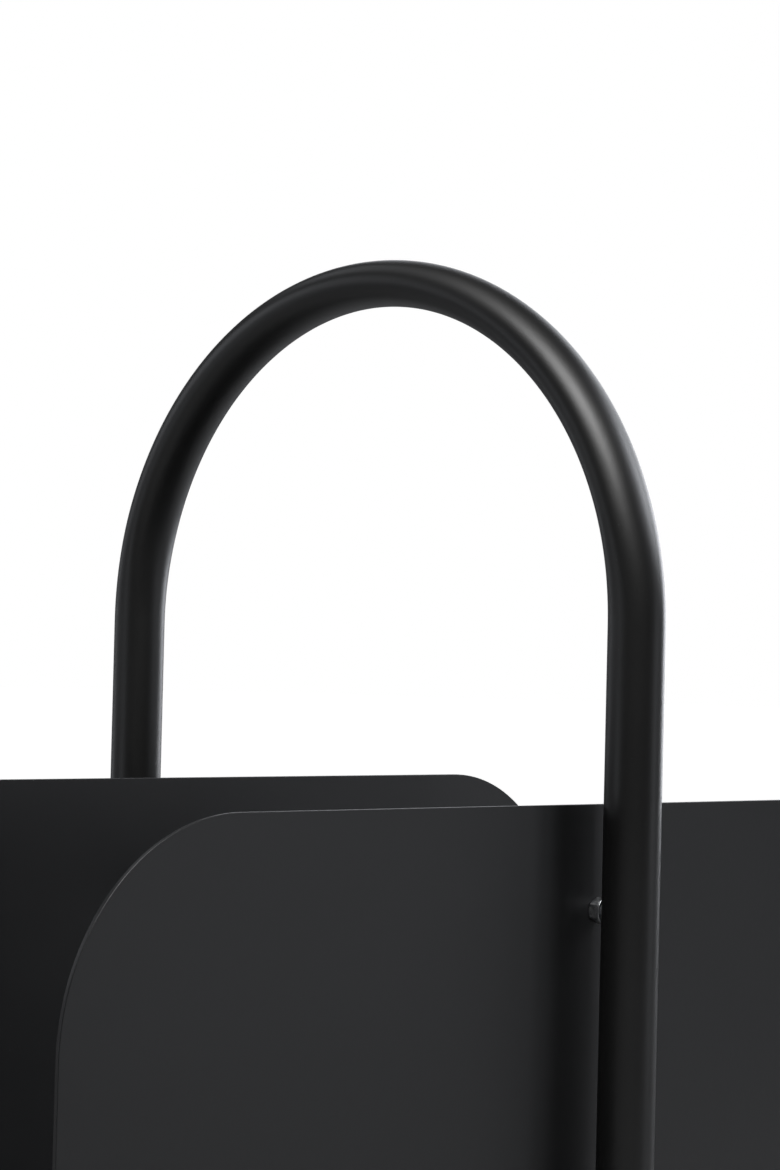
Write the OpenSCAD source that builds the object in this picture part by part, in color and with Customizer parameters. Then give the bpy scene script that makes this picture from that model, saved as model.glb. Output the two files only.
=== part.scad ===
// Firewood log rack: a sheet-steel cradle, open at both ends, with one bent-tube carrying hoop across its middle.
// The logs lie along X. The hoop stands in the Y-Z plane, its legs outside the two long walls.
// The origin is on the floor, under the middle of the rack, and +Z is up. Lengths are in millimetres.

/* [Cradle] */
// Length of the cradle, along the logs
cradle_length = 610; // [420:5:800]
// Width over the outer faces of the two walls
cradle_width = 280; // [200:2:400]
// Height of the walls' top edges above the floor
wall_top = 300; // [220:5:400]
// Thickness of the bent sheet
sheet = 2; // [1.5:0.1:3]
// Radius of the four rounded upper corners
corner_radius = 90; // [20:1:150]
// Inner radius of the two long bends at the bottom
bend_radius = 6; // [2:0.5:20]

/* [Hoop] */
// Outer diameter of the tube
tube_d = 25; // [20:0.5:32]
// Wall thickness of the tube
tube_wall = 1.5; // [1:0.1:2.5]
// Length of straight leg between the walls' top edges and the arch
straight_above = 77; // [10:1:160]
// Depth that the tube loses across the arch, where bending flattens it
bend_squash = 3.4; // [0:0.1:4]
// Width that the tube gains along the cradle, in the same place
bend_spread = 3.4; // [0:0.1:4]
// Angle of arch over which the round leg becomes the flattened tube
squash_ramp = 20; // [8:1:60]

/* [Hoop fixings] */
// Thread diameter of the four screws that hold the hoop
hoop_thread = 6; // [5:0.5:8]
// Distance of the upper screws below the walls' top edges
upper_drop = 46; // [25:1:80]
// Distance of the lower screws above the cradle's underside
lower_rise = 62; // [30:1:90]
// Height of the hexagon nut that keeps a leg off its wall
nut_height = 5; // [3:0.1:8]
// Thickness of the threaded insert's flange
flange_thickness = 1.5; // [1:0.1:2.5]
// Length of the threaded insert's body, inside the tube
insert_length = 13; // [8:0.5:15]
// Thickness of the washer under the screw's head
washer_thickness = 1.6; // [0.8:0.1:2.5]
// Length of a hoop screw under its head
hoop_screw_length = 20; // [16:1:22]

/* [Leg plugs] */
// Thickness of the plug's rim, which closes the tube
plug_rim = 3; // [2:0.5:6]
// Length of the plug's hollow spigot, inside the tube
plug_spigot = 18; // [10:1:40]
// Wall thickness of the spigot
plug_wall = 2; // [1.2:0.1:3]

/* [Feet] */
// Height of the rubber feet, from the floor to the cradle
foot_height = 10; // [8:0.5:20]
// Diameter of a foot where it meets the cradle
foot_d = 28; // [20:1:40]
// Diameter of a foot on the floor
foot_base_d = 24; // [16:1:40]
// Distance from the cradle's end to the middle of a foot
foot_from_end = 60; // [25:1:150]
// Distance from the wall's outer face to the middle of a foot
foot_from_wall = 40; // [25:1:80]
// Thread diameter of the foot screws
foot_thread = 5; // [4:0.5:6]
// Length of a foot screw under its head
foot_screw_length = 8; // [6:0.5:9]
// Thickness of rubber left under the foot's brass bush
foot_sole = 2; // [1:0.1:4]

/* [Hidden] */
SIDES = ["front", "back"];
LEVELS = ["upper", "lower"];
ENDS = ["left", "right"];
STACK = ["screw", "washer", "nut", "insert"];
FOOT_PIECES = ["foot", "foot_bush", "foot_screw"];
$fn = 64;

// Clearances
thread_gap = 0.05;      // radial gap between a thread and the piece it turns in
hole_gap = 0.3;         // radial gap between a screw and a plain hole
seat_gap = 0.05;        // radial gap between an insert or bush and its hole
plug_gap = 0.1;         // radial gap between a plug's spigot and the tube
seam_step = 0.03;       // how far the arch's many-sided skin keeps inside the legs' round one
past = 1;               // how far a cutting shape runs past the face it cuts

// Rims that are added to a thread's diameter to give the pieces around it
nut_rim = 2;            // from the thread to a flat of the nut
head_rim = 2.25;        // from the thread to the edge of a button head
washer_rim = 3;         // from the thread to the edge of a washer
insert_rim = 1.5;       // wall of a threaded insert
flange_rim = 2;         // from the insert's body to the edge of its flange
bush_rim = 1.8;         // wall of a foot's brass bush
head_share = 0.55;      // height of a button head, as a share of its thread
socket_share = 0.65;    // width across flats of its socket, as a share of its thread
socket_depth = 0.6;     // depth of its socket, as a share of the head's height
edge = 0.4;             // small chamfer on hard edges

// Cradle
underside = foot_height;
wall_height = wall_top - underside;
inner_face = cradle_width / 2 - sheet;
tray_top = underside + sheet;

// Hoop
tube_r = tube_d / 2;
stand_off = nut_height + flange_thickness;
hoop_radius = cradle_width / 2 + stand_off + tube_r;
spring_line = wall_top + straight_above;
leg_bottom = underside + plug_rim;
ring_sides = 36;
ramp_steps = 7;
crown_steps = 28;

// Fixings
insert_r = hoop_thread / 2 + insert_rim;
nut_flats = hoop_thread + 2 * nut_rim;
bush_r = foot_thread / 2 + bush_rim;

function sign_of(side) = side == "front" ? -1 : 1;
function end_sign(end) = end == "left" ? -1 : 1;
function fixing_height(level) = level == "upper" ? wall_top - upper_drop : underside + lower_rise;

// ---------------------------------------------------------------- placing

// Puts children on a hoop fixing: their origin on the wall's inner face, their +Z outwards, to the leg
module at_fixing(side, level) {
    translate([0, sign_of(side) * inner_face, fixing_height(level)])
        rotate([-90 * sign_of(side), 0, 0])
            children();
}

// Puts children under a corner of the cradle: their origin on the floor
module at_foot(side, end) {
    translate([
        end_sign(end) * (cradle_length / 2 - foot_from_end),
        sign_of(side) * (cradle_width / 2 - foot_from_wall),
        0
    ])
        children();
}

// ---------------------------------------------------------------- cradle

// A rectangle on the line y = 0 whose two lower corners are round
module round_bottom(width, height, radius) {
    translate([-width / 2, radius]) square([width, height - radius]);
    translate([-width / 2 + radius, 0]) square([width - 2 * radius, height]);
    for (s = [-1, 1]) translate([s * (width / 2 - radius), radius]) circle(radius);
}

// Cross-section of the bent sheet: a flat floor, two bends and two upright walls
module cradle_section() {
    difference() {
        round_bottom(cradle_width, wall_height, bend_radius + sheet);
        translate([0, sheet])
            round_bottom(cradle_width - 2 * sheet, wall_height, bend_radius);
    }
}

// Outline of a wall seen from the side: square below, two large round corners above
module wall_outline() {
    mirror([0, 1]) round_bottom(cradle_length, wall_height, corner_radius);
}

module log_cradle() {
    color("#303032")
    difference() {
        intersection() {
            translate([-cradle_length / 2, 0, underside])
                rotate([90, 0, 90])
                    linear_extrude(cradle_length) cradle_section();
            translate([0, cradle_width / 2 + past, wall_top])
                rotate([90, 0, 0])
                    linear_extrude(cradle_width + 2 * past) wall_outline();
        }
        for (side = SIDES, level = LEVELS)
            at_fixing(side, level)
                translate([0, 0, -past])
                    cylinder(r = hoop_thread / 2 + hole_gap, h = sheet + 2 * past);
        for (side = SIDES, end = ENDS)
            at_foot(side, end)
                translate([0, 0, underside - past])
                    cylinder(r = foot_thread / 2 + hole_gap, h = sheet + 2 * past);
    }
}

// ---------------------------------------------------------------- hoop

// Angles of the arch's rings from the front leg: fine over the two ramps, wider over the crown between
ARCH_ANGLES = concat(
    [for (k = [0 : ramp_steps - 1]) squash_ramp * k / ramp_steps],
    [for (k = [0 : crown_steps]) squash_ramp + (180 - 2 * squash_ramp) * k / crown_steps],
    [for (k = [ramp_steps - 1 : -1 : 0]) 180 - squash_ramp * k / ramp_steps]
);

// How far the bending has flattened the tube at an angle along the arch: 0 is round, 1 is full
function flat_share(angle) =
    let (t = min(1, min(angle, 180 - angle) / squash_ramp)) t * t * (3 - 2 * t);

// One ring of the arch's skin, a given distance inside the tube's own skin
function arch_ring(angle, inset) =
    let (
        share = flat_share(angle),
        across = tube_r - bend_squash / 2 * share - inset,
        along = tube_r + bend_spread / 2 * share - inset
    )
    [for (i = [0 : ring_sides - 1])
        let (turn = 360 * i / ring_sides, reach = hoop_radius + across * sin(turn))
        [along * cos(turn), -reach * cos(angle), reach * sin(angle)]];

// All rings of one skin, from the front leg over the top to the back leg
function arch_skin(inset) = [for (angle = ARCH_ANGLES) each arch_ring(angle, inset)];

// Quads between neighbouring rings, turned outwards or inwards
function skin_faces(first, outwards) =
    [for (k = [0 : len(ARCH_ANGLES) - 2], i = [0 : ring_sides - 1])
        let (
            j = (i + 1) % ring_sides,
            a = first + k * ring_sides + i,
            b = first + k * ring_sides + j,
            c = b + ring_sides,
            d = a + ring_sides
        )
        outwards ? [a, b, c, d] : [d, c, b, a]];

// Flat ring of quads that joins the outer and the inner skin at one end of the arch
function end_faces(ring, inner_first, at_start) =
    [for (i = [0 : ring_sides - 1])
        let (
            j = (i + 1) % ring_sides,
            a = ring * ring_sides + i,
            b = ring * ring_sides + j
        )
        at_start ? [b, a, inner_first + a, inner_first + b] : [a, b, inner_first + b, inner_first + a]];

// The bent tube between the legs. Its many-sided ends keep a little inside the legs' round walls
module arch() {
    last_ring = len(ARCH_ANGLES) - 1;
    inner_first = ring_sides * (last_ring + 1);
    translate([0, 0, spring_line])
        polyhedron(
            points = concat(arch_skin(seam_step), arch_skin(tube_wall - 3 * seam_step)),
            faces = concat(
                skin_faces(0, true),
                skin_faces(inner_first, false),
                end_faces(0, inner_first, true),
                end_faces(last_ring, inner_first, false)
            ),
            convexity = 6
        );
}

module leg(side) {
    translate([0, sign_of(side) * hoop_radius, leg_bottom])
        difference() {
            cylinder(r = tube_r, h = spring_line - leg_bottom);
            translate([0, 0, -past])
                cylinder(r = tube_r - tube_wall, h = spring_line - leg_bottom + 2 * past);
        }
}

module carry_hoop() {
    color("#2a2a2c")
    difference() {
        union() {
            arch();
            for (side = SIDES) leg(side);
        }
        for (side = SIDES, level = LEVELS)
            at_fixing(side, level)
                translate([0, 0, sheet + stand_off - past])
                    cylinder(r = insert_r + seat_gap, h = past + tube_r);
    }
}

// ---------------------------------------------------------------- leg plugs

module leg_plug(side) {
    spigot_r = tube_r - tube_wall - plug_gap;
    color("#1c1c1d")
    translate([0, sign_of(side) * hoop_radius, underside])
        rotate_extrude()
            polygon([
                [0, 0],
                [tube_r - plug_rim / 2, 0],
                [tube_r, plug_rim / 2],
                [tube_r, plug_rim],
                [spigot_r, plug_rim],
                [spigot_r, plug_rim + plug_spigot],
                [spigot_r - plug_wall, plug_rim + plug_spigot],
                [spigot_r - plug_wall, plug_rim],
                [0, plug_rim]
            ]);
}

// ---------------------------------------------------------------- fasteners

// Button-head screw: the head is below z = 0, the shank above it
module button_screw(thread, length) {
    head_r = thread / 2 + head_rim;
    head_height = head_share * thread;
    crown_r = (head_r * head_r + head_height * head_height) / (2 * head_height);
    socket_r = socket_share * thread / 2 / cos(30);
    difference() {
        union() {
            intersection() {
                translate([0, 0, crown_r - head_height]) sphere(crown_r);
                translate([0, 0, -head_height]) cylinder(r = head_r, h = head_height);
            }
            rotate_extrude()
                polygon([[0, -edge], [thread / 2, -edge], [thread / 2, length - edge],
                    [thread / 2 - edge, length], [0, length]]);
        }
        translate([0, 0, -head_height - past])
            cylinder(r = socket_r, h = past + socket_depth * head_height, $fn = 6);
    }
}

module hoop_screw(side, level) {
    color("#252527")
    at_fixing(side, level)
        translate([0, 0, -washer_thickness]) button_screw(hoop_thread, hoop_screw_length);
}

module hoop_washer(side, level) {
    color("#c4c6c8")
    at_fixing(side, level)
        translate([0, 0, -washer_thickness])
            difference() {
                cylinder(r = hoop_thread / 2 + washer_rim, h = washer_thickness);
                translate([0, 0, -past])
                    cylinder(r = hoop_thread / 2 + hole_gap, h = washer_thickness + 2 * past);
            }
}

// Hexagon nut between the wall and the insert: one corner points up and one down
module hoop_nut(side, level) {
    corner_r = nut_flats / 2 / cos(30);
    cut = corner_r - nut_flats / 2;
    color("#c8cacc")
    at_fixing(side, level)
        translate([0, 0, sheet])
            difference() {
                intersection() {
                    rotate(30) cylinder(r = corner_r, h = nut_height, $fn = 6);
                    rotate_extrude()
                        polygon([[0, 0], [nut_flats / 2, 0], [corner_r, cut / 2],
                            [corner_r, nut_height - cut / 2], [nut_flats / 2, nut_height],
                            [0, nut_height]]);
                }
                translate([0, 0, -past])
                    cylinder(r = hoop_thread / 2 + thread_gap, h = nut_height + 2 * past);
            }
}

// Flanged threaded insert, set in the hole of a leg
module hoop_insert(side, level) {
    color("#b9bcbf")
    at_fixing(side, level)
        translate([0, 0, sheet + nut_height])
            difference() {
                union() {
                    cylinder(r = insert_r + flange_rim, h = flange_thickness);
                    cylinder(r = insert_r, h = flange_thickness + insert_length);
                }
                translate([0, 0, -past])
                    cylinder(r = hoop_thread / 2 + thread_gap,
                        h = flange_thickness + insert_length + 2 * past);
            }
}

// ---------------------------------------------------------------- feet

// Rubber foot with a blind hole for its bush
module foot(side, end) {
    color("#19191a")
    at_foot(side, end)
        difference() {
            rotate_extrude()
                polygon([
                    [0, 0],
                    [foot_base_d / 2 - edge, 0],
                    [foot_base_d / 2, edge],
                    [foot_d / 2, foot_height - edge],
                    [foot_d / 2, foot_height],
                    [0, foot_height]
                ]);
            translate([0, 0, foot_sole])
                cylinder(r = bush_r + seat_gap, h = foot_height);
        }
}

module foot_bush(side, end) {
    color("#b08d4a")
    at_foot(side, end)
        translate([0, 0, foot_sole])
            difference() {
                cylinder(r = bush_r, h = foot_height - foot_sole);
                translate([0, 0, -past])
                    cylinder(r = foot_thread / 2 + thread_gap, h = foot_height + 2 * past);
            }
}

module foot_screw(side, end) {
    color("#252527")
    at_foot(side, end)
        translate([0, 0, tray_top])
            mirror([0, 0, 1]) button_screw(foot_thread, foot_screw_length);
}

// ---------------------------------------------------------------- assembly

log_cradle();
carry_hoop();
for (side = SIDES) {
    leg_plug(side);
    for (level = LEVELS) {
        hoop_screw(side, level);
        hoop_washer(side, level);
        hoop_nut(side, level);
        hoop_insert(side, level);
    }
    for (end = ENDS) {
        foot(side, end);
        foot_bush(side, end);
        foot_screw(side, end);
    }
}
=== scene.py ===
# %% [markdown]
# # A firewood log rack
#
# The rack is a sheet of steel bent into a trough, with a hoop of bent tube across its middle. Both
# are powder coated black. This notebook dresses the finished engineering model, the frame, with
# pieces that have the soft edges, small hardware and surfaces of the real thing. Every length is in
# metres, and every piece stands where the frame says.

import math

import bmesh
import bpy
from mathutils import Matrix, Vector


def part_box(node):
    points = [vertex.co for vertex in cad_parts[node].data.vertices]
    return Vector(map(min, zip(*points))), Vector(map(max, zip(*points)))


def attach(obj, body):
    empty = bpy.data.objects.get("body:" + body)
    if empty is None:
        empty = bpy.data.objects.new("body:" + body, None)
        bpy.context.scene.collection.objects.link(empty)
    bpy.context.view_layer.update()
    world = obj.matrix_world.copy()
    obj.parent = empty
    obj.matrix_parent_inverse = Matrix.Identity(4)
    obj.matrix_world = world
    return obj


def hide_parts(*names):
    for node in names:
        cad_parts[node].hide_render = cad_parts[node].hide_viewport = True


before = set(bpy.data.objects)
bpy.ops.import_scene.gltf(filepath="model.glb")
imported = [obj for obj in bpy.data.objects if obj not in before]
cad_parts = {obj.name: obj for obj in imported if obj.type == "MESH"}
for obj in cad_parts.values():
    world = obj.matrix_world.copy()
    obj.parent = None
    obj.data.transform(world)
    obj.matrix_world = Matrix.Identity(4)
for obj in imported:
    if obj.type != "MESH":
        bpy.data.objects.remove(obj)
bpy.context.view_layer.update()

# %% [markdown]
# ## Measures
#
# What the frame can tell is read from it, so that a change of size carries through. The rest are
# the maker's own sizes: the sheet's thickness, the tube's wall, and the radii of bends and edges.

# %% Measures from the frame
SIDES = {"front": -1, "back": 1}
LEVELS = ("upper", "lower")
ENDS = {"left": -1, "right": 1}


def centre(node):
    """Middle of a frame node's box."""
    low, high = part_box(node)
    return (low + high) / 2


def size(node):
    """Lengths of the three sides of a frame node's box."""
    low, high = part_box(node)
    return high - low


cradle_low, cradle_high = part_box("log_cradle")
length, width, height = cradle_high - cradle_low
underside, wall_top = cradle_low.z, cradle_high.z
hoop_low, hoop_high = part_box("carry_hoop")
leg_bottom, hoop_top = hoop_low.z, hoop_high.z
tube_radius = size("leg_plug_front").x / 2
hoop_radius = hoop_high.y - tube_radius
print(f"cradle {length:.3f} x {width:.3f} x {height:.3f}")
print(f"tube {2 * tube_radius:.4f}, hoop radius {hoop_radius:.4f}")

# %% Measures of the maker's own
SHEET = 0.002            # thickness of the cradle's steel
BEND_INNER = 0.006       # inner radius of its two long bends
CORNER = 0.090           # radius of the walls' upper corners
EDGE = 0.00095           # radius that the coating gives to the sheet's cut edges
TUBE_WALL = 0.0015       # wall of the hoop's tube
TUBE_SQUASH = 0.0034     # depth that the tube loses across the arch
TUBE_SPREAD = 0.0034     # width that it gains there
SQUASH_RAMP = 20         # degrees of arch over which it does so
HOLE_ROOM = 0.0003       # room around a screw in a plain hole
SEAT_ROOM = 0.00005      # room around an insert in its hole

# %% [markdown]
# ## Tools for modelling
#
# Each piece starts as a primitive and is shaped in edit mode. Operators act on what is selected, so
# everything is deselected before a primitive is added, and then edges, faces or points are picked
# by where they are. A finished piece has its place in its mesh: its object stays at the origin.

# %% Start, pick and change
NEAR = 1e-5


def near(a, b):
    return abs(a - b) < NEAR


def deselect_all():
    if bpy.context.mode != "OBJECT":
        bpy.ops.object.mode_set(mode="OBJECT")
    bpy.ops.object.select_all(action="DESELECT")


def start(name, primitive, **settings):
    """Adds a primitive with nothing else selected, names it and opens it in edit mode."""
    deselect_all()
    primitive(**settings)
    piece = bpy.context.object
    piece.name = piece.data.name = name
    bpy.ops.object.transform_apply(location=True, rotation=True, scale=True)
    bpy.ops.object.mode_set(mode="EDIT")
    bpy.ops.mesh.select_mode(type="VERT")
    bpy.ops.mesh.select_all(action="SELECT")
    return piece


def pick(kind, test):
    """Selects the VERT, EDGE or FACE items whose middle passes the test."""
    bpy.ops.mesh.select_mode(type=kind)
    bpy.ops.mesh.select_all(action="DESELECT")
    mesh = bpy.context.edit_object.data
    shape = bmesh.from_edit_mesh(mesh)
    items = {"VERT": shape.verts, "EDGE": shape.edges, "FACE": shape.faces}[kind]
    for item in items:
        points = [item.co] if kind == "VERT" else [v.co for v in item.verts]
        if test(sum(points, Vector()) / len(points)):
            item.select_set(True)
    shape.select_flush_mode()
    bmesh.update_edit_mesh(mesh)


def grow_along(way):
    """Extrudes what is selected by a step."""
    bpy.ops.mesh.extrude_region_move(TRANSFORM_OT_translate={"value": way})


def make_current(piece):
    deselect_all()
    piece.select_set(True)
    bpy.context.view_layer.objects.active = piece


def modify(piece, kind, **settings):
    """Adds a modifier, sets it and applies it at once."""
    make_current(piece)
    modifier = piece.modifiers.new(kind.lower(), kind)
    for key, value in settings.items():
        setattr(modifier, key, value)
    bpy.ops.object.modifier_apply(modifier=modifier.name)


def face_outwards(piece):
    """Merges doubled points and turns every face outwards."""
    make_current(piece)
    bpy.ops.object.mode_set(mode="EDIT")
    bpy.ops.mesh.select_all(action="SELECT")
    bpy.ops.mesh.remove_doubles(threshold=1e-6)
    bpy.ops.mesh.normals_make_consistent(inside=False)
    bpy.ops.object.mode_set(mode="OBJECT")


def combine(piece, others, operation="DIFFERENCE"):
    """Cuts other closed shapes out of a piece, or keeps what they share, and removes them."""
    for other in others:
        modify(piece, "BOOLEAN", object=other, operation=operation, solver="EXACT")
        bpy.data.objects.remove(other)


def soften(piece, radius, segments=3, limit=35):
    """Rounds every edge sharper than the limit, in degrees."""
    modify(piece, "BEVEL", width=radius, segments=segments, limit_method="ANGLE",
           angle_limit=math.radians(limit), use_clamp_overlap=True)


def shade_smooth(piece, angle=35):
    """Smooth shading except across edges sharper than the angle, with flat faces kept flat."""
    make_current(piece)
    bpy.ops.object.shade_smooth_by_angle(angle=math.radians(angle))
    modify(piece, "WEIGHTED_NORMAL", keep_sharp=True, weight=100)


def put(piece, location, turn_x=0.0):
    """Turns a piece about X, moves it and writes that into its mesh."""
    piece.data.transform(Matrix.Translation(location) @ Matrix.Rotation(turn_x, 4, "X"))
    piece.data.update()
    return piece


def copy_of(piece, name):
    twin = piece.copy()
    twin.data = piece.data.copy()
    twin.name = twin.data.name = name
    bpy.context.scene.collection.objects.link(twin)
    return twin


print("modelling tools ready")

# %% [markdown]
# ## A lathe
#
# Screws, washers, feet, plugs and bushes are turned or moulded round an axis. By hand one draws half
# of the cross-section, point by point, and spins it. A section that starts and ends on the axis
# closes by itself. The section of a ring is joined from its last point back to its first.

# %% Turn a section about Z
def lathe(name, section, ring=False, steps=48):
    """Spins a section, a list of (distance from Z, height), into a closed solid."""
    piece = start(name, bpy.ops.mesh.primitive_plane_add, size=0.001)
    bpy.ops.mesh.merge(type="CENTER")
    points = [Vector((radius, 0, z)) for radius, z in section]
    bpy.ops.transform.translate(value=points[0])
    for here, there in zip(points, points[1:]):
        bpy.ops.mesh.extrude_vertices_move(TRANSFORM_OT_translate={"value": there - here})
    if ring:
        pick("VERT", lambda p: (p - points[0]).length < NEAR / 10 or (p - points[-1]).length < NEAR / 10)
        bpy.ops.mesh.edge_face_add()
    bpy.ops.mesh.select_all(action="SELECT")
    bpy.ops.mesh.spin(steps=steps, angle=2 * math.pi, center=(0, 0, 0), axis=(0, 0, 1))
    face_outwards(piece)
    return piece


def arc(middle_r, middle_z, radius, first, last, count=4):
    """Points along a round corner of a section, angles in degrees from outwards to upwards."""
    turns = [math.radians(first + (last - first) * i / count) for i in range(count + 1)]
    return [(middle_r + radius * math.cos(t), middle_z + radius * math.sin(t)) for t in turns]


ROD_SIDES = 48


def rod(name, radius, low, high, turn_x=0.0, x=0.0, y=0.0, twist=0.0):
    """A plain round cutter between two places along its own axis, twisted about that axis."""
    piece = start(name, bpy.ops.mesh.primitive_cylinder_add, vertices=ROD_SIDES, radius=radius,
                  depth=high - low, location=(0, 0, (low + high) / 2), rotation=(0, 0, twist))
    deselect_all()
    return put(piece, (x, y, 0), turn_x)


def hexagon_corner(flat):
    """Distance of a hexagon's corners from its middle, from that of its flats."""
    return flat / math.cos(math.pi / 6)


print("lathe ready")

# %% [markdown]
# ## The cradle
#
# The cradle is one sheet of 2 mm steel with two long bends, and its four upper corners are cut to a
# large radius. A box with a hollow would get the bends and the thickness wrong, so it is made as in
# the workshop: a flat blank, two walls raised from its long edges, both bends rounded, the corners
# rounded, and only then the thickness. The holes for screws come next. Last, the cut edges are
# softened, because powder coating leaves a fine round that catches the light.

# %% Raise the walls and round the bends
cradle = start("bent_cradle", bpy.ops.mesh.primitive_plane_add, size=1, location=(0, 0, underside))
bpy.ops.transform.resize(value=(length, width, 1), center_override=(0, 0, underside))
pick("EDGE", lambda p: near(abs(p.y), width / 2))
grow_along((0, 0, height))
pick("EDGE", lambda p: near(abs(p.y), width / 2) and near(p.z, underside))
bpy.ops.mesh.bevel(offset=BEND_INNER + SHEET, segments=10, affect="EDGES")
pick("VERT", lambda p: near(abs(p.x), length / 2) and near(p.z, wall_top))
bpy.ops.mesh.bevel(offset=CORNER, segments=40, affect="VERTICES")
bpy.ops.mesh.select_all(action="SELECT")
bpy.ops.mesh.normals_make_consistent(inside=False)
bpy.ops.object.mode_set(mode="OBJECT")
bottom = min(cradle.data.polygons, key=lambda face: face.center.z)
inwards = 1 if bottom.normal.z > 0 else -1
modify(cradle, "SOLIDIFY", thickness=SHEET, offset=inwards, use_even_offset=True)
face_outwards(cradle)
print("cradle sheet:", len(cradle.data.polygons), "faces,", [round(s, 4) for s in cradle.dimensions])

# %% Drill it and soften its cut edges
WASHER_EXTRA = 0.006     # width of a washer beyond its screw's thread
HEAD_EXTRA = 0.0045      # width of a foot screw's head beyond its thread
upper_height, lower_height = (centre(f"{level}_screw_front").z for level in LEVELS)
washer_radius = size("upper_washer_front").x / 2
hoop_thread = 2 * washer_radius - WASHER_EXTRA
foot_head_radius = size("foot_screw_front_left").x / 2
foot_thread = 2 * foot_head_radius - HEAD_EXTRA
foot_x, foot_y = centre("foot_back_right").xy
cutters = []
for z in (upper_height, lower_height):
    cutters.append(rod("wall_hole", hoop_thread / 2 + HOLE_ROOM, -width, width, math.pi / 2))
    put(cutters[-1], (0, 0, z))
for x in (-foot_x, foot_x):
    for y in (-foot_y, foot_y):
        cutters.append(rod("tray_hole", foot_thread / 2 + HOLE_ROOM, 0, underside + 2 * SHEET, x=x, y=y))
combine(cradle, cutters)
soften(cradle, EDGE)
shade_smooth(cradle)
print("cradle drilled:", len(cradle.data.polygons), "faces,", [round(s, 4) for s in cradle.dimensions])

# %% [markdown]
# ## The hoop
#
# The hoop is a steel tube bent into an arch with two straight legs. Bending flattens a tube a little:
# it comes out thinner across the bend and wider sideways. The piece is made in that order. A straight
# tube is drawn with a ring of points at every few millimetres of what will be the arch, the rings
# there are flattened, and a Simple Deform modifier then bends that stretch by half a turn. Spinning a
# circle would be quicker, but it can't flatten the tube gradually. The cutters for its holes are
# twisted by half a facet: with their corners exactly on the row of points down the tube's side, the
# cut can come out a little differently from one run to the next.

# %% Draw the straight tube
arch_length = math.pi * hoop_radius
spring_line = hoop_top - hoop_radius - (tube_radius - TUBE_SQUASH / 2)
leg_length = spring_line - leg_bottom
leg_middle = (arch_length + leg_length) / 2
ARCH_PARTS = 144
LEG_PARTS = 24
hoop = start("bent_hoop", bpy.ops.mesh.primitive_circle_add, vertices=64, radius=tube_radius,
             location=(0, 0, -arch_length / 2 - leg_length))
for stretch in (leg_length, arch_length, leg_length):
    grow_along((0, 0, stretch))
pick("EDGE", lambda p: near(p.z, 0))
bpy.ops.mesh.subdivide(number_cuts=ARCH_PARTS // 2 - 1)
bpy.ops.mesh.subdivide(number_cuts=1)
pick("EDGE", lambda p: near(abs(p.z), leg_middle))
bpy.ops.mesh.subdivide(number_cuts=LEG_PARTS - 1)
print(f"straight tube: {2 * LEG_PARTS + ARCH_PARTS} parts, arch {arch_length:.4f}, legs {leg_length:.4f}")

# %% Flatten its middle, ring by ring
def flat_share(angle):
    """How far the bending has flattened the tube at an angle along the arch, 0 to 1."""
    t = min(1, min(angle, 180 - angle) / SQUASH_RAMP)
    return t * t * (3 - 2 * t)


ramp_parts = round(ARCH_PARTS * SQUASH_RAMP / 180)
for step in range(1, ramp_parts + 1):
    share = flat_share(180 * step / ARCH_PARTS)
    ring = arch_length * (0.5 - step / ARCH_PARTS)
    if step < ramp_parts:
        pick("VERT", lambda p: near(abs(p.z), ring))
    else:
        pick("VERT", lambda p: abs(p.z) < ring + NEAR)
    wide = 1 + TUBE_SPREAD / 2 * share / tube_radius
    thin = 1 - TUBE_SQUASH / 2 * share / tube_radius
    bpy.ops.transform.resize(value=(wide, thin, 1), center_override=(0, 0, 0))
bpy.ops.object.mode_set(mode="OBJECT")
print("flattened rings:", 2 * ramp_parts, "on the ramps")

# %% Bend it, give it its wall and set it upright
whole = arch_length + 2 * leg_length
bend = hoop.modifiers.new("bend", "SIMPLE_DEFORM")
bend.deform_method = "BEND"
bend.deform_axis = "X"
bend.angle = math.pi
bend.limits = (leg_length / whole, 1 - leg_length / whole)
make_current(hoop)
bpy.ops.object.modifier_apply(modifier=bend.name)
put(hoop, (0, 0, spring_line + hoop_radius), -math.pi / 2)
face_outwards(hoop)
bpy.ops.object.mode_set(mode="EDIT")
bpy.ops.mesh.select_all(action="SELECT")
highest = max(hoop.data.polygons, key=lambda face: face.center.z)
if highest.normal.z < 0:
    bpy.ops.mesh.flip_normals()
bpy.ops.object.mode_set(mode="OBJECT")
modify(hoop, "SOLIDIFY", thickness=TUBE_WALL, offset=-1, use_even_offset=True)
print("bent:", [round(c, 4) for c in hoop.dimensions], len(hoop.data.polygons), "faces")

# %% Drill it for the inserts
FLANGE_LIP = 0.002       # how far an insert's flange stands out round its body
flange_radius = size("upper_insert_front").x / 2
insert_radius = flange_radius - FLANGE_LIP
insert_length = size("upper_insert_front").y
insert_face = abs(centre("upper_insert_front").y) - insert_length / 2
cutters = []
for side in SIDES.values():
    for z in (upper_height, lower_height):
        low, high = sorted((side * insert_face, side * hoop_radius))
        cutters.append(rod("leg_hole", insert_radius + SEAT_ROOM, -high, -low, math.pi / 2,
                           twist=math.pi / ROD_SIDES))
        put(cutters[-1], (0, 0, z))
combine(hoop, cutters)
shade_smooth(hoop, 40)
print("hoop drilled:", len(hoop.data.polygons), "faces")

# %% [markdown]
# ## Plugs for the legs
#
# Each leg ends in a moulded plastic plug: a rim as wide as the tube, and a hollow spigot with three
# soft ribs that grip the inside of the tube. It is turned from one section. The ribs are small half
# rounds in that section, so they run all the way round, as the moulded ones do.

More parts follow.
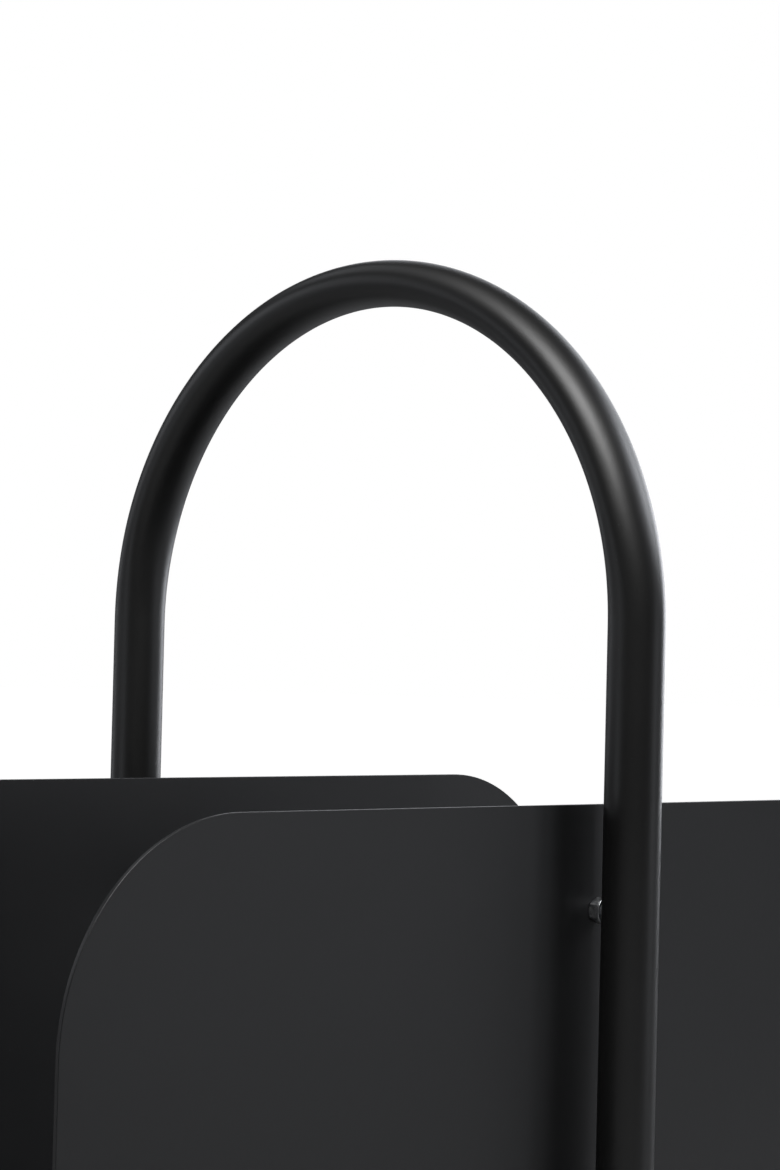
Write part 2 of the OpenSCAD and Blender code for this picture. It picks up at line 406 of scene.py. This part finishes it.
# %% Turn the plugs
PLUG_ROUND = 0.0012      # round of the rim's lower edge
RIM_EDGE = 0.0002        # round of its upper edge
SPIGOT_ROOM = 0.0005     # room between spigot and tube
SPIGOT_WALL = 0.0016
SPIGOT_ROUND = 0.0006    # round of the spigot's end
RIB = 0.0004             # how far a rib stands out
plug_foot, plug_top = (corner.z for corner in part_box("leg_plug_front"))
spigot_radius = tube_radius - TUBE_WALL - SPIGOT_ROOM
spigot_inner = spigot_radius - SPIGOT_WALL
section = [(0, plug_foot)]
section += arc(tube_radius - PLUG_ROUND, plug_foot + PLUG_ROUND, PLUG_ROUND, -90, 0)
section += arc(tube_radius - RIM_EDGE, leg_bottom - RIM_EDGE, RIM_EDGE, 0, 90, 2)
section += [(spigot_radius, leg_bottom)]
for step in (1, 2, 3):
    section += arc(spigot_radius, leg_bottom + (plug_top - leg_bottom) * step / 4, RIB, -90, 90)
section += arc(spigot_radius - SPIGOT_ROUND, plug_top - SPIGOT_ROUND, SPIGOT_ROUND, 0, 90, 3)
section += [(spigot_inner, plug_top), (spigot_inner, leg_bottom + RIB), (0, leg_bottom)]
plug = lathe("leg_cap_front", section, steps=64)
shade_smooth(plug)
plugs = {"front": plug, "back": copy_of(plug, "leg_cap_back")}
for side, sign in SIDES.items():
    put(plugs[side], (0, sign * hoop_radius, 0))
print("plugs:", [round(s, 4) for s in plug.dimensions], len(plug.data.polygons), "faces")

# %% [markdown]
# ## Screws
#
# The hoop and the feet are held by button-head screws: a low dome with a six-sided socket, on a
# threaded shank. All of it but the socket is turned from one section. The thread sits out of sight in
# nut, insert or bush, so it is drawn as a row of rings, which close by themselves, and not as a
# helix, whose climb nobody would see. The socket is cut with a six-sided prism whose end is a shallow
# cone, as a broach and its pilot drill leave it.

# %% Button-head screws
def button_screw(name, radius, head_radius, pitch, reach):
    """Head below z = 0, threaded shank above it. The head's height and socket follow the thread."""
    head_height = 1.1 * radius
    rim = 0.00035
    crown = (head_radius ** 2 + head_height ** 2) / (2 * head_height)
    middle = crown - head_height
    dome_steps = 16
    dome = [math.acos(middle / crown) * step / dome_steps for step in range(dome_steps)]
    section = [(crown * math.sin(t), middle - crown * math.cos(t)) for t in dome]
    section += [(head_radius - 0.4 * rim, -rim), (head_radius, -0.65 * rim), (head_radius, -0.25 * rim),
                (head_radius - 0.25 * rim, 0), (radius, 0)]
    root = radius - 0.6 * pitch
    for turn in range(1, round(reach / pitch)):
        z = turn * pitch
        section += [(radius, z - 0.55 * pitch), (root, z - 0.1 * pitch), (root, z + 0.02 * pitch),
                    (radius, z + 0.4 * pitch)]
    section += [(root, reach), (0, reach)]
    screw = lathe(name, section)
    key = hexagon_corner(0.65 * radius)
    key_floor = -0.4 * head_height
    cone_width, cone_depth = 0.35 * key, 0.12 * key
    socket = start("socket", bpy.ops.mesh.primitive_cylinder_add, vertices=6, radius=key,
                   depth=2 * head_height, location=(0, 0, key_floor - head_height))
    pick("FACE", lambda p: near(p.z, key_floor))
    bpy.ops.mesh.inset(thickness=cone_width)
    bpy.ops.transform.translate(value=(0, 0, cone_depth))
    deselect_all()
    combine(screw, [socket])
    shade_smooth(screw, 40)
    return screw


HOOP_PITCH, FOOT_PITCH = 0.001, 0.0008
HEAD_INSET = 0.00075     # how far a hoop screw's head stays inside its washer
washer_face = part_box("upper_washer_back")[0].y
hoop_screw_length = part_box("upper_screw_back")[1].y - washer_face
foot_screw_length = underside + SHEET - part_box("foot_screw_back_left")[0].z
hoop_head_radius = washer_radius - HEAD_INSET
hoop_screw = button_screw("hoop_screw", hoop_thread / 2, hoop_head_radius, HOOP_PITCH,
                          hoop_screw_length)
foot_screw = button_screw("foot_screw", foot_thread / 2, foot_head_radius, FOOT_PITCH,
                          foot_screw_length)
print(f"hoop screw M{1000 * hoop_thread:.0f} x {1000 * hoop_screw_length:.1f}:",
      len(hoop_screw.data.polygons), "faces")
print(f"foot screw M{1000 * foot_thread:.0f} x {1000 * foot_screw_length:.1f}:",
      len(foot_screw.data.polygons), "faces")

# %% [markdown]
# ## Washers, nuts and inserts
#
# Between wall and leg sits a stack of zinc-plated hardware: a washer under the screw's head, inside
# the cradle; a hexagon nut outside it, which keeps the leg off the wall; and the flange of the
# threaded insert in the leg. A nut is a six-sided bar whose corners are turned away to a shallow cone
# on both faces, which gives the small arcs that a nut shows on its flats. So a six-sided cylinder is
# intersected with a turned shape, rather than bevelled. That shape and the one that cuts the bore run
# on past the nut's ends. Shapes that end in the same plane make a Boolean cut go wrong now and then.

# %% Turn the washer and the insert
SMALL_ROUND = 0.00025    # round on the edges of washer and insert
FLANGE = 0.0015          # thickness of the insert's flange
# Corners of a groove round the insert, as depth and rise
GROOVE = [(0, -0.0007), (0.0004, -0.0004), (0.0004, 0.0001), (0, 0.0004)]


def rounded(radius, z, first):
    """A small round in place of a section's corner, from one angle to the next right angle."""
    aside = SMALL_ROUND if first in (90, 180) else -SMALL_ROUND
    above = SMALL_ROUND if first in (-90, 180) else -SMALL_ROUND
    return arc(radius + aside, z + above, SMALL_ROUND, first, first + 90, 3)


washer_thickness = size("upper_washer_front").y
hole = hoop_thread / 2 + HOLE_ROOM
section = rounded(washer_radius, 0, -90) + rounded(washer_radius, washer_thickness, 0)
section += rounded(hole, washer_thickness, 90) + rounded(hole, 0, 180)
washer = lathe("washer", section, ring=True)
shade_smooth(washer)

bore = hoop_thread / 2 + SEAT_ROOM
section = [(bore + SMALL_ROUND, 0)]
section += rounded(flange_radius, 0, -90) + rounded(flange_radius, FLANGE, 0)
section += [(insert_radius, FLANGE)]
for share in (0.35, 0.6, 0.85):
    section += [(insert_radius - depth, share * insert_length + rise) for depth, rise in GROOVE]
section += [(insert_radius, insert_length - SMALL_ROUND), (insert_radius - SMALL_ROUND, insert_length),
            (bore + SMALL_ROUND, insert_length), (bore, insert_length - SMALL_ROUND), (bore, SMALL_ROUND)]
insert = lathe("insert", section, ring=True)
shade_smooth(insert)
print("washer", [round(s, 5) for s in washer.dimensions], "insert", [round(s, 5) for s in insert.dimensions])

# %% Cut the nut
NUT_EDGE = 0.0001        # round on its edges
LEAD_IN = 0.0004         # cone at both ends of its thread
PAST = 0.001             # how far the shapes that cut it run on past its ends
nut_height = size("upper_nut_front").y
nut_flat = size("upper_nut_front").x / 2
nut_corner = hexagon_corner(nut_flat)


def both_ends(lower):
    """The section of a shape round the nut, from the part of it at the nut's lower end."""
    return lower + [(radius, nut_height - z) for radius, z in reversed(lower)]


nut = start("nut", bpy.ops.mesh.primitive_cylinder_add, vertices=6, radius=nut_corner,
            depth=nut_height, location=(0, 0, nut_height / 2))
deselect_all()
face, outside = 0.97 * nut_flat, 1.01 * nut_corner
slope = math.tan(math.radians(30))
section = both_ends([(0, -PAST), (face - PAST / slope, -PAST), (outside, (outside - face) * slope)])
combine(nut, [lathe("chamfer", section, steps=96)], "INTERSECT")
section = both_ends([(0, -PAST), (bore + LEAD_IN + PAST, -PAST), (bore, LEAD_IN)])
combine(nut, [lathe("tapping", section, steps=32)])
soften(nut, NUT_EDGE, segments=2, limit=25)
shade_smooth(nut, 30)
print("nut", [round(s, 5) for s in nut.dimensions], len(nut.data.polygons), "faces")

# %% Set the hardware of the four fixings
hoop_hardware = {}
stack = {"screw": (hoop_screw, washer_face), "washer": (washer, washer_face),
         "nut": (nut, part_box("upper_nut_back")[0].y), "insert": (insert, insert_face)}
for side, sign in SIDES.items():
    for level, z in zip(LEVELS, (upper_height, lower_height)):
        for kind, (model, start_y) in stack.items():
            twin = copy_of(model, f"hoop_{kind}_{level}_{side}")
            put(twin, (0, sign * start_y, z), -sign * math.pi / 2)
            hoop_hardware[f"{level}_{kind}_{side}"] = twin
for model in (hoop_screw, washer, nut, insert):
    bpy.data.objects.remove(model)
print("hardware on the hoop:", len(hoop_hardware), "pieces")

# %% [markdown]
# ## Feet
#
# The cradle stands on four rubber feet, each moulded round a knurled brass bush that takes its screw
# from above. Only the sides of the feet are in view, yet their soles are made too: a shallow
# ring-shaped hollow that gives a clean rim to stand on. Foot and bush are turned from sections, and
# the knurling is made by drawing in every other upright row of the bush's points.

# %% Turn the feet
FOOT_TAPER = 0.002       # how much smaller a foot's radius is on the floor
FOOT_ROUND = 0.0009
SIDE_LEAN = 8            # degrees by which the foot's side leans out
HOLLOW = 0.0006          # depth of the hollow in its sole
foot_low, foot_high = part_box("foot_back_left")
foot_height = foot_high.z - foot_low.z
foot_top = (foot_high.x - foot_low.x) / 2
foot_base = foot_top - FOOT_TAPER
bush_low, bush_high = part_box("foot_bush_back_left")
bush_radius = (bush_high.x - bush_low.x) / 2
sole = bush_low.z
section = [(0, HOLLOW), (0.62 * foot_base, HOLLOW), (0.68 * foot_base, 0)]
section += arc(foot_base - FOOT_ROUND, FOOT_ROUND, FOOT_ROUND, -90, -SIDE_LEAN)
section += arc(foot_top - FOOT_ROUND, foot_height - FOOT_ROUND, FOOT_ROUND, -SIDE_LEAN, 90)
section += [(bush_radius + SEAT_ROOM, foot_height), (bush_radius + SEAT_ROOM, sole), (0, sole)]
foot = lathe("foot", section, steps=64)
shade_smooth(foot)
print("foot", [round(s, 5) for s in foot.dimensions])

# %% Turn and knurl the bushes
BUSH_CHAMFER = 0.0003
WAIST = 0.0005           # depth of the groove round its middle
KNURL = 12               # degrees from one valley of the knurling to the next
VALLEY = 0.93            # radius of a valley, as a share of the bush's
bush_bore = foot_thread / 2 + SEAT_ROOM
bush_height = bush_high.z - bush_low.z
section = [(bush_bore, 0), (bush_radius - BUSH_CHAMFER, 0), (bush_radius, BUSH_CHAMFER),
           (bush_radius, 0.42 * bush_height), (bush_radius - WAIST, 0.44 * bush_height),
           (bush_radius - WAIST, 0.54 * bush_height), (bush_radius, 0.56 * bush_height),
           (bush_radius, bush_height - BUSH_CHAMFER), (bush_radius - BUSH_CHAMFER, bush_height),
           (bush_bore, bush_height)]
bush = lathe("bush", section, ring=True, steps=60)
make_current(bush)
bpy.ops.object.mode_set(mode="EDIT")


def on_valley(p):
    turn = math.degrees(math.atan2(p.y, p.x)) % KNURL
    return min(turn, KNURL - turn) < 1 and math.hypot(p.x, p.y) > bush_radius - NEAR


pick("VERT", on_valley)
bpy.ops.transform.resize(value=(VALLEY, VALLEY, 1), center_override=(0, 0, 0))
bpy.ops.object.mode_set(mode="OBJECT")
shade_smooth(bush, 20)
print("bush", [round(s, 5) for s in bush.dimensions])

# %% Set the feet under the cradle
foot_hardware = {}
parts = {"foot": ("rubber_foot", foot, 0, 0), "foot_bush": ("brass_bush", bush, sole, 0),
         "foot_screw": ("tray_screw", foot_screw, underside + SHEET, math.pi)}
for side, sign in SIDES.items():
    for end, way in ENDS.items():
        for kind, (name, model, z, turn) in parts.items():
            twin = copy_of(model, f"{name}_{side}_{end}")
            put(twin, (way * foot_x, sign * foot_y, z), turn)
            foot_hardware[f"{kind}_{side}_{end}"] = twin
for model in (foot, bush, foot_screw):
    bpy.data.objects.remove(model)
print("pieces at the feet:", len(foot_hardware))

# %% [markdown]
# ## Arithmetic for materials
#
# A finish is worked out by nodes, but sums drawn as nodes are slow to read. So a small class wraps a
# node's output, and ordinary arithmetic on it adds the Math nodes. Everything else comes from one
# method, which sets a node's settings first and then its sockets, to numbers or to other outputs.

# %% Outputs that can be reckoned with
class Signal:
    """An output in a material. Arithmetic on it adds Math nodes."""

    def __init__(self, finish, socket):
        self.finish = finish
        self.socket = socket

    def reckon(self, operation, first, second):
        return self.finish.node("ShaderNodeMath", {"operation": operation}, {0: first, 1: second})

    def __add__(self, other):
        return self.reckon("ADD", self, other)

    def __radd__(self, other):
        return self.reckon("ADD", other, self)

    def __mul__(self, other):
        return self.reckon("MULTIPLY", self, other)

    def __rmul__(self, other):
        return self.reckon("MULTIPLY", other, self)


class Finish:
    """A node tree that is being wired: a material's, or the world's."""

    def __init__(self, tree):
        self.tree = tree

    def feed(self, node, sockets):
        for key, value in sockets.items():
            if isinstance(value, Signal):
                self.tree.links.new(value.socket, node.inputs[key])
            else:
                node.inputs[key].default_value = value

    def node(self, kind, settings=None, sockets=None, output=0):
        node = self.tree.nodes.new(kind)
        for key, value in (settings or {}).items():
            setattr(node, key, value)
        self.feed(node, sockets or {})
        return Signal(self, node.outputs[output])

    def place_on_piece(self):
        return self.node("ShaderNodeTexCoord", output="Object")

    def noise(self, scale, detail=2.0, roughness=0.5, distortion=0.0):
        """Soft noise from 0 to 1; its scale is in patches per metre."""
        return self.node("ShaderNodeTexNoise", {"noise_dimensions": "3D"},
                         {"Vector": self.place_on_piece(), "Scale": scale, "Detail": detail,
                          "Roughness": roughness, "Distortion": distortion})

    def spread(self, signal, low, high, out_low=0.0, out_high=1.0):
        """Stretches a range of a signal over another range, smoothly and no further."""
        return self.node("ShaderNodeMapRange", {"interpolation_type": "SMOOTHSTEP"},
                         {0: signal, 1: low, 2: high, 3: out_low, 4: out_high})

    def blend(self, share, first, second):
        """Mixes two colours."""
        return self.node("ShaderNodeMix", {"data_type": "RGBA"},
                         {"Factor": share, 6: first, 7: second}, output=2)

    def bump(self, height, distance, under=None):
        """A relief so many metres high, on top of another one if that is given."""
        sockets = {"Height": height, "Distance": distance, "Strength": 1.0}
        if under is not None:
            sockets["Normal"] = under
        return self.node("ShaderNodeBump", None, sockets)


def new_finish(name, wire, **constants):
    """A material on one Principled shader: its constants, then whatever the wiring returns."""
    material = bpy.data.materials.new(name)
    material.use_nodes = True
    finish = Finish(material.node_tree)
    surface = material.node_tree.nodes["Principled BSDF"]
    finish.feed(surface, {key.replace("_", " "): value for key, value in constants.items()})
    finish.feed(surface, wire(finish))
    return material


def grey(level, blue=0.0):
    """A grey, or one with a little more blue in it."""
    return (level, level, level + blue, 1)


print("material arithmetic ready")

# %% [markdown]
# ## Powder coat
#
# Powder is sprayed on dry and melts in an oven into a tough skin. This one is black and satin: it
# reflects a soft, blurred picture of the room, and that reflection is nearly all one sees of it. Close
# up the skin isn't flat. It flowed into shallow dimples a few millimetres wide, called orange peel,
# with a much finer grain on top. Both are bumps here, and the gloss drifts a little with the dimples.

# %% Make the powder coat
POWDER_ROUGHNESS = 0.42


def wire_powder(finish, blue):
    peel = finish.noise(340, detail=1.5)
    grain = finish.noise(2600, detail=2.5, roughness=0.6)
    drift = finish.noise(9, detail=3)
    speck = finish.spread(finish.noise(700, detail=1), 0.79, 0.83)
    colour = finish.blend(finish.spread(drift, 0.3, 0.7), grey(0.0030, blue), grey(0.0040, blue))
    colour = finish.blend(speck * 0.35, colour, grey(0.06))
    gloss = finish.spread(drift, 0.3, 0.7, -0.02, 0.02) + finish.spread(grain, 0.3, 0.7, -0.02, 0.02)
    skin = finish.bump(peel, 0.000028)
    skin = finish.bump(grain, 0.000008, under=skin)
    return {"Base Color": colour, "Roughness": gloss + POWDER_ROUGHNESS, "Normal": skin}


sheet_powder = new_finish("satin_powder_on_sheet", lambda f: wire_powder(f, 0.0004), IOR=1.5)
tube_powder = new_finish("satin_powder_on_tube", lambda f: wire_powder(f, 0.0), IOR=1.5)
print("finishes:", sheet_powder.name, tube_powder.name)

# %% [markdown]
# ## Zinc, blackened steel and brass
#
# The nuts, washers and inserts are zinc plated: a bright, slightly blue-grey metal whose bath leaves
# a faint mottling and a fine tool grain. The screws are blackened in oil, which is a thin dark skin
# on steel with a low sheen, worn a little lighter in places. The bushes are turned brass. Metals
# have no colour of their own but that of their reflection, so their colour and gloss carry them.

# %% Make the metals
def wire_zinc(finish):
    mottle = finish.noise(600, detail=4, roughness=0.65)
    scratch = finish.noise(5200, detail=2, distortion=0.6)
    colour = finish.blend(finish.spread(mottle, 0.35, 0.65), (0.50, 0.515, 0.54, 1), (0.68, 0.69, 0.70, 1))
    gloss = finish.spread(mottle, 0.3, 0.7, 0.28, 0.42) + finish.spread(scratch, 0.3, 0.7, -0.03, 0.03)
    return {"Base Color": colour, "Roughness": gloss, "Normal": finish.bump(scratch, 0.000006)}


def wire_black_steel(finish):
    mottle = finish.noise(800, detail=4, roughness=0.6)
    wear = finish.spread(mottle, 0.62, 0.78)
    colour = finish.blend(wear, grey(0.020, 0.001), grey(0.065))
    gloss = finish.spread(mottle, 0.3, 0.7, 0.30, 0.42)
    return {"Base Color": colour, "Roughness": gloss, "Normal": finish.bump(finish.noise(4200), 0.000006)}


def wire_brass(finish):
    mottle = finish.noise(500, detail=3)
    turned = finish.noise(5000, detail=2)
    colour = finish.blend(finish.spread(mottle, 0.3, 0.7), (0.60, 0.42, 0.16, 1), (0.74, 0.56, 0.26, 1))
    gloss = finish.spread(mottle, 0.3, 0.7, 0.22, 0.32)
    return {"Base Color": colour, "Roughness": gloss, "Normal": finish.bump(turned, 0.000006)}


zinc = new_finish("bright_zinc", wire_zinc, Metallic=1.0)
black_steel = new_finish("blackened_steel", wire_black_steel, Metallic=0.6, IOR=1.5)
brass = new_finish("turned_brass", wire_brass, Metallic=1.0)
print("finishes:", zinc.name, black_steel.name, brass.name)

# %% [markdown]
# ## Plastic and rubber
#
# The plugs are moulded plastic with a fine spark-eroded texture, which the mould's steel prints on
# them. The feet are matt rubber: darker, rougher, with a little pale dust that clings to it.

# %% Make the mouldings' finishes
def wire_plastic(finish):
    texture = finish.noise(2400, detail=2, roughness=0.7)
    drift = finish.noise(60, detail=2)
    colour = finish.blend(finish.spread(drift, 0.3, 0.7), grey(0.012), grey(0.017))
    gloss = finish.spread(texture, 0.3, 0.7, 0.42, 0.56)
    return {"Base Color": colour, "Roughness": gloss, "Normal": finish.bump(texture, 0.00003)}


def wire_rubber(finish):
    grain = finish.noise(1800, detail=3, roughness=0.7)
    dust = finish.spread(finish.noise(240, detail=4, roughness=0.7), 0.55, 0.8)
    colour = finish.blend(dust * 0.4, grey(0.012), grey(0.045))
    gloss = finish.spread(grain, 0.3, 0.7, 0.62, 0.82)
    return {"Base Color": colour, "Roughness": gloss, "Normal": finish.bump(grain, 0.00005)}


plastic = new_finish("moulded_plastic", wire_plastic, IOR=1.5)
rubber = new_finish("moulded_rubber", wire_rubber, IOR=1.5)
print("finishes:", plastic.name, rubber.name)

# %% [markdown]
# ## Say what each piece stands for
#
# Every piece rides on the frame's one body, hides the plain frame node that it stands for, and takes
# the finish listed here for its kind.

# %% Tie the pieces to the frame
KINDS = {
    "log_cradle": ("powder_coat", sheet_powder), "carry_hoop": ("powder_coat", tube_powder),
    "leg_plug": ("black_plastic", plastic), "foot_screw": ("black_steel", black_steel),
    "foot_bush": ("brass", brass), "foot": ("black_rubber", rubber),
    "screw": ("black_steel", black_steel), "washer": ("zinc_steel", zinc), "nut": ("zinc_steel", zinc),
    "insert": ("zinc_steel", zinc),
}
pieces = {"log_cradle": cradle, "carry_hoop": hoop, **hoop_hardware, **foot_hardware}
pieces.update({f"leg_plug_{side}": piece for side, piece in plugs.items()})
for node, piece in pieces.items():
    slot, finish = next(found for kind, found in KINDS.items() if kind in node)
    piece.data.materials.clear()
    piece.data.materials.append(finish)
    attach(piece, "root")
    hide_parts(node)
print("tied:", len(pieces), "pieces")

# %% [markdown]
# ## Floor
#
# The rack stands on a plain pale floor that runs on without a seam into a white backdrop. Near the
# rack it is lit by the lamps, so it shows soft shadows where the feet meet it. Further out it glows
# by itself, or it would darken away from the lamps and show a horizon. A white floor would also
# light the rack from below and wash out its black, so it is dim to every ray but the camera's.

# %% Lay the floor
FLOOR_NEAR, FLOOR_FAR = 0.4, 2.2       # metres from the middle over which it starts to glow
FLOOR_GAP = 0.0005                     # keeps it just clear of the feet's soles
floor = start("studio_floor", bpy.ops.mesh.primitive_plane_add, size=60, location=(0, 0, -FLOOR_GAP))
deselect_all()


def wire_floor(finish):
    drift = finish.noise(0.7, detail=2)
    seen = finish.node("ShaderNodeLightPath", output="Is Camera Ray")
    pale = finish.blend(drift, grey(0.90), grey(0.92))
    away = finish.node("ShaderNodeVectorMath", {"operation": "LENGTH"}, {0: finish.place_on_piece()}, "Value")
    glow = finish.spread(away, FLOOR_NEAR, FLOOR_FAR, 0.55, 1.0)
    return {"Base Color": finish.blend(seen, grey(0.35), pale),
            "Emission Color": finish.blend(seen * glow, grey(0.0), grey(1.0))}


pale_floor = new_finish("pale_floor", wire_floor, Roughness=0.9, IOR=1.3, Emission_Strength=1.0)
floor.data.materials.append(pale_floor)
print("floor:", [round(s, 1) for s in floor.dimensions])

# %% [markdown]
# ## Room and lamps
#
# A satin black surface shows hardly any light of its own, only reflections, so each lamp is placed
# for one of them. Large boxes high over the camera's shoulder draw the broad streak down the hoop.
# Low strips to the right front are what the near wall mirrors, and the leg shades the gap beside it
# from most of them. Boxes at the right and behind brighten the tube towards its rims, and a wide dim
# backdrop keeps its outline soft. The high boxes are neutral and the others have the faint blue of
# daylight. The rest of the room is almost dark. The camera alone sees it white, behind the rack.

# %% Darken the room
ROOM_GLOW = 0.025
world = bpy.data.worlds.new("studio")
world.use_nodes = True
bpy.context.scene.world = world
room = Finish(world.node_tree)
seen = room.node("ShaderNodeLightPath", output="Is Camera Ray")
brightness = seen * (1 - ROOM_GLOW) + ROOM_GLOW
room.feed(world.node_tree.nodes["Background"], {"Color": grey(1.0), "Strength": brightness})
print("room's own glow:", ROOM_GLOW)

# %% Hang the lamps
LAMP_AIM = Vector((0, 0, 0.3))
NEUTRAL = (1.0, 1.0, 1.0)
DAYLIGHT = (0.92, 0.945, 1.0)
# Each row: azimuth from -Y towards +X, elevation, distance, width, height, watts
LAMPS = {
    "high_key": (-50, 59, 1.6, 0.85, 0.85, 19),
    "high_right": (-25, 51, 1.6, 0.65, 0.65, 11),
    "high_left": (-90, 74, 2.0, 1.4, 1.4, 7),
}
WINDOWS = {
    "wall_strip": (31, 0, 2.0, 0.5, 0.5, 1.35),
    "wall_edge": (44, 0, 2.0, 0.25, 0.5, 0.5),
    "side_high": (65, 30, 2.0, 0.75, 0.75, 14),
    "side_mid": (95, 30, 2.0, 0.75, 0.75, 3),
    "side_low": (95, 8, 2.0, 0.75, 0.75, 11),
    "side_strip": (85, 0, 2.0, 0.25, 0.5, 0.7),
    "back_right": (120, 27, 2.2, 1.4, 1.0, 9),
    "backdrop": (142, 8, 2.5, 3.0, 1.4, 2.6),
    "back_high": (180, 50, 2.0, 0.7, 0.7, 1.4),
    "back_strip": (-175, 0, 2.0, 0.25, 0.5, 1.0),
    "back_left": (-150, 20, 1.8, 1.1, 0.8, 3.4),
    "left_strip": (-115, 0, 2.0, 0.7, 0.5, 1.7),
}


def softbox(name, colour, azimuth, elevation, distance, width, height, power):
    """An even area light that faces the rack from a direction, in degrees."""
    light = bpy.data.lights.new(name, "AREA")
    light.shape = "RECTANGLE"
    light.size = width
    light.size_y = height
    light.energy = power
    light.color = colour
    lamp = bpy.data.objects.new(name, light)
    bpy.context.scene.collection.objects.link(lamp)
    a, e = math.radians(azimuth), math.radians(elevation)
    way = Vector((math.sin(a) * math.cos(e), -math.cos(a) * math.cos(e), math.sin(e)))
    lamp.matrix_world = (Matrix.Translation(LAMP_AIM + distance * way)
                         @ way.to_track_quat("Z", "Y").to_matrix().to_4x4())
    lamp.visible_camera = False


for boxes, colour in ((LAMPS, NEUTRAL), (WINDOWS, DAYLIGHT)):
    for name, settings in boxes.items():
        softbox(name, colour, *settings)
print("lamps:", ", ".join([*LAMPS, *WINDOWS]))

# %% [markdown]
# ## Camera
#
# The camera stands a metre and a half away, off the corner between the rack's front and its left
# end, and higher than the walls' top edges. Its lens is long, so that upright lines stay nearly
# upright.

# %% Set up the camera
STAND = (-1.0592, -1.0095, 0.3562)
YAW = 46.73              # degrees from +Y towards +X in which the camera looks
TILT = 1.542             # degrees above level
ROLL = 1.383             # degrees about its own line of sight
LENS = 96.67             # millimetres
camera = bpy.data.objects.new("camera", bpy.data.cameras.new("camera"))
camera.data.sensor_width = 36
camera.data.lens = LENS
camera.matrix_world = (
    Matrix.Translation(STAND)
    @ Matrix.Rotation(-math.radians(YAW), 4, "Z")
    @ Matrix.Rotation(math.radians(90 + TILT), 4, "X")
    @ Matrix.Rotation(math.radians(ROLL), 4, "Z")
)
bpy.context.scene.collection.objects.link(camera)
bpy.context.scene.camera = camera
bpy.context.scene.view_settings.view_transform = "Standard"
print("camera:", [round(c, 3) for c in camera.matrix_world.translation], "lens", camera.data.lens)
